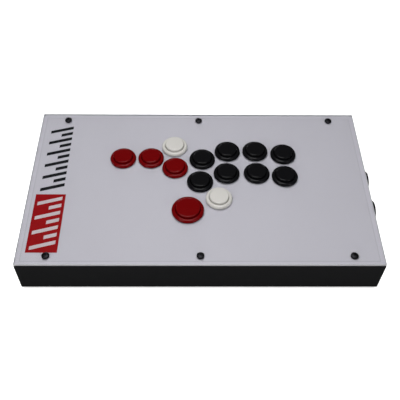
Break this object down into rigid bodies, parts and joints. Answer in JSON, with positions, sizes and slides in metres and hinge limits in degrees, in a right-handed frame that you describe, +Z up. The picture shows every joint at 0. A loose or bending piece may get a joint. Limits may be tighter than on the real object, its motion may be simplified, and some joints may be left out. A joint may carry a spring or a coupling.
{
  "type": "all-button arcade controller panel",
  "caption": "Low rectangular arcade controller box: folded black case, white printed top under a clear screwed-down cover, round snap-in push buttons on top and on the right-hand wall.",
  "frame": {"origin": "centre of the rest face, which is the underside of the non-slip mat", "axes": "+X to the player's right, along the case's width; +Y to the back, away from the player; +Z up"},
  "size_m": [0.3556, 0.2041, 0.0496],
  "materials": {
    "black_powder_coat": "matt powder coat",
    "printed_sheet": "printed film with a white margin and a band of slanted bars at the left",
    "clear_acrylic": "clear, polished",
    "black_oxide_steel": "black oxide",
    "zinc_steel": "zinc plated",
    "mat_rubber": "matt, fine-ribbed",
    "red_button_plastic": "glossy moulded",
    "black_button_plastic": "glossy moulded",
    "white_button_plastic": "glossy moulded",
    "switch_resin": "fine matt",
    "terminal_metal": "tinned",
    "sleeve_nylon": "translucent nylon",
    "signal_wire_insulation": "satin PVC",
    "ground_wire_insulation": "satin PVC",
    "board_laminate": "solder mask",
    "chip_resin": "matt epoxy",
    "jack_metal": "nickel plated",
    "header_nylon": "natural nylon",
    "plug_nylon": "natural nylon",
    "standoff_brass": "bare brass",
    "socket_plastic": "fine matt",
    "tongue_plastic": "moulded",
    "cable_jacket": "matt"
  },
  "bodies": {
    "case": {"case_tray": "black_powder_coat", "weld_nuts": "zinc_steel", "button_panel": "black_powder_coat", "artwork_sheet": "printed_sheet", "cover_sheet": "clear_acrylic", "panel_screws": "black_oxide_steel", "non_slip_mat": "mat_rubber", "switch_terminals": "terminal_metal", "terminal_sleeves": "sleeve_nylon", "signal_wires": "signal_wire_insulation", "ground_wire": "ground_wire_insulation", "control_board": "board_laminate", "board_chips": "chip_resin", "board_usb_jack": "jack_metal", "button_header": "header_nylon", "harness_plug": "plug_nylon", "board_standoffs": "standoff_brass", "board_screws": "zinc_steel", "usb_socket_housing": "socket_plastic", "usb_socket_shell": "jack_metal", "usb_contact_tongue": "tongue_plastic", "usb_socket_screws": "black_oxide_steel", "usb_socket_nuts": "zinc_steel", "usb_link_cable": "cable_jacket", "direction_switches": "switch_resin", "click_switches": "switch_resin", "attack_switches": "switch_resin", "side_switches": "switch_resin", "left_button_housing": "red_button_plastic", "down_button_housing": "red_button_plastic", "right_button_housing": "red_button_plastic", "up_button_housing": "red_button_plastic", "left_click_button_housing": "white_button_plastic", "right_click_button_housing": "white_button_plastic", "attack_1_button_housing": "black_button_plastic", "attack_2_button_housing": "black_button_plastic", "attack_3_button_housing": "black_button_plastic", "attack_4_button_housing": "black_button_plastic", "attack_5_button_housing": "black_button_plastic", "attack_6_button_housing": "black_button_plastic", "attack_7_button_housing": "black_button_plastic", "attack_8_button_housing": "black_button_plastic", "start_button_housing": "black_button_plastic", "select_button_housing": "black_button_plastic"},
    "left_plunger": {"left_button_plunger": "red_button_plastic"},
    "down_plunger": {"down_button_plunger": "red_button_plastic"},
    "right_plunger": {"right_button_plunger": "red_button_plastic"},
    "up_plunger": {"up_button_plunger": "red_button_plastic"},
    "left_click_plunger": {"left_click_button_plunger": "white_button_plastic"},
    "right_click_plunger": {"right_click_button_plunger": "white_button_plastic"},
    "attack_1_plunger": {"attack_1_button_plunger": "black_button_plastic"},
    "attack_2_plunger": {"attack_2_button_plunger": "black_button_plastic"},
    "attack_3_plunger": {"attack_3_button_plunger": "black_button_plastic"},
    "attack_4_plunger": {"attack_4_button_plunger": "black_button_plastic"},
    "attack_5_plunger": {"attack_5_button_plunger": "black_button_plastic"},
    "attack_6_plunger": {"attack_6_button_plunger": "black_button_plastic"},
    "attack_7_plunger": {"attack_7_button_plunger": "black_button_plastic"},
    "attack_8_plunger": {"attack_8_button_plunger": "black_button_plastic"},
    "start_plunger": {"start_button_plunger": "black_button_plastic"},
    "select_plunger": {"select_button_plunger": "black_button_plastic"}
  },
  "joints": [
    {"name": "left_press", "type": "slide", "parent": "case", "child": "left_plunger", "axis": [0, 0, -1], "range_m": [0, 0.0022], "stiffness_N_per_m": 200},
    {"name": "down_press", "type": "slide", "parent": "case", "child": "down_plunger", "axis": [0, 0, -1], "range_m": [0, 0.0022], "stiffness_N_per_m": 200},
    {"name": "right_press", "type": "slide", "parent": "case", "child": "right_plunger", "axis": [0, 0, -1], "range_m": [0, 0.0022], "stiffness_N_per_m": 200},
    {"name": "up_press", "type": "slide", "parent": "case", "child": "up_plunger", "axis": [0, 0, -1], "range_m": [0, 0.0024], "stiffness_N_per_m": 200},
    {"name": "left_click_press", "type": "slide", "parent": "case", "child": "left_click_plunger", "axis": [0, 0, -1], "range_m": [0, 0.0022], "stiffness_N_per_m": 200},
    {"name": "right_click_press", "type": "slide", "parent": "case", "child": "right_click_plunger", "axis": [0, 0, -1], "range_m": [0, 0.0022], "stiffness_N_per_m": 200},
    {"name": "attack_1_press", "type": "slide", "parent": "case", "child": "attack_1_plunger", "axis": [0, 0, -1], "range_m": [0, 0.0022], "stiffness_N_per_m": 200},
    {"name": "attack_2_press", "type": "slide", "parent": "case", "child": "attack_2_plunger", "axis": [0, 0, -1], "range_m": [0, 0.0022], "stiffness_N_per_m": 200},
    {"name": "attack_3_press", "type": "slide", "parent": "case", "child": "attack_3_plunger", "axis": [0, 0, -1], "range_m": [0, 0.0022], "stiffness_N_per_m": 200},
    {"name": "attack_4_press", "type": "slide", "parent": "case", "child": "attack_4_plunger", "axis": [0, 0, -1], "range_m": [0, 0.0022], "stiffness_N_per_m": 200},
    {"name": "attack_5_press", "type": "slide", "parent": "case", "child": "attack_5_plunger", "axis": [0, 0, -1], "range_m": [0, 0.0022], "stiffness_N_per_m": 200},
    {"name": "attack_6_press", "type": "slide", "parent": "case", "child": "attack_6_plunger", "axis": [0, 0, -1], "range_m": [0, 0.0022], "stiffness_N_per_m": 200},
    {"name": "attack_7_press", "type": "slide", "parent": "case", "child": "attack_7_plunger", "axis": [0, 0, -1], "range_m": [0, 0.0022], "stiffness_N_per_m": 200},
    {"name": "attack_8_press", "type": "slide", "parent": "case", "child": "attack_8_plunger", "axis": [0, 0, -1], "range_m": [0, 0.0022], "stiffness_N_per_m": 200},
    {"name": "start_press", "type": "slide", "parent": "case", "child": "start_plunger", "axis": [-1, 0, 0], "range_m": [0, 0.0022], "stiffness_N_per_m": 200},
    {"name": "select_press", "type": "slide", "parent": "case", "child": "select_plunger", "axis": [-1, 0, 0], "range_m": [0, 0.0022], "stiffness_N_per_m": 200}
  ]
}
